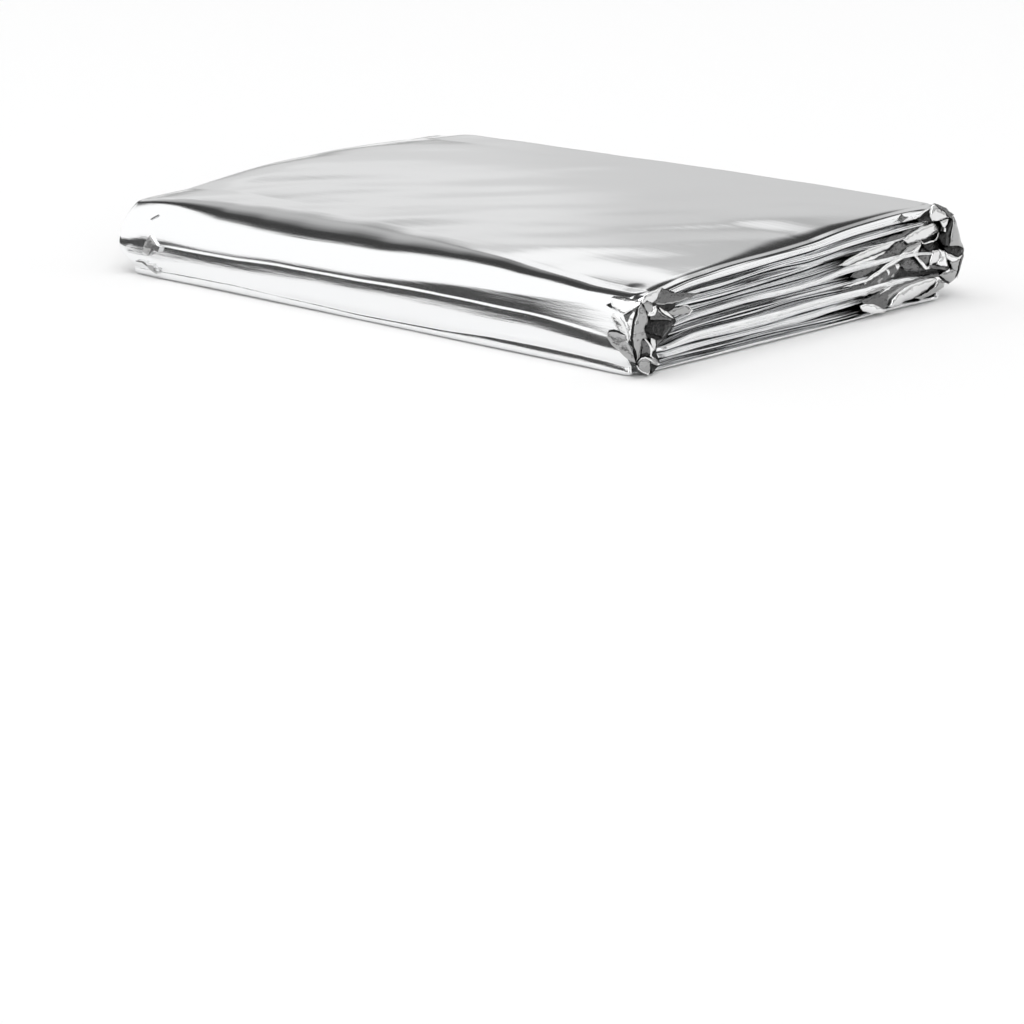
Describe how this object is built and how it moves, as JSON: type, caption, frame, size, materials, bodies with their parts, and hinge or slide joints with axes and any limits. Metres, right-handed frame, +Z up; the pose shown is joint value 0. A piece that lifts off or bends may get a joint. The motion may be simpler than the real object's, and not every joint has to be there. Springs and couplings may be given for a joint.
{
  "type": "emergency foil blanket",
  "caption": "Thin metallised film blanket folded and wound flat into a pocket-sized pack with a smooth rolled spine and crumpled layered ends.",
  "frame": {"origin": "middle of the folded pack's underside", "axes": "+X along the rolled spine towards the end where the layers stand open, +Y from the spine to the nested turns at the back, +Z up"},
  "size_m": [0.1206, 0.0846, 0.0158],
  "materials": {
    "foil": "mirror-bright metallised film with fine creases"
  },
  "bodies": {
    "root": {"foil_blanket": "foil"}
  },
  "joints": []
}
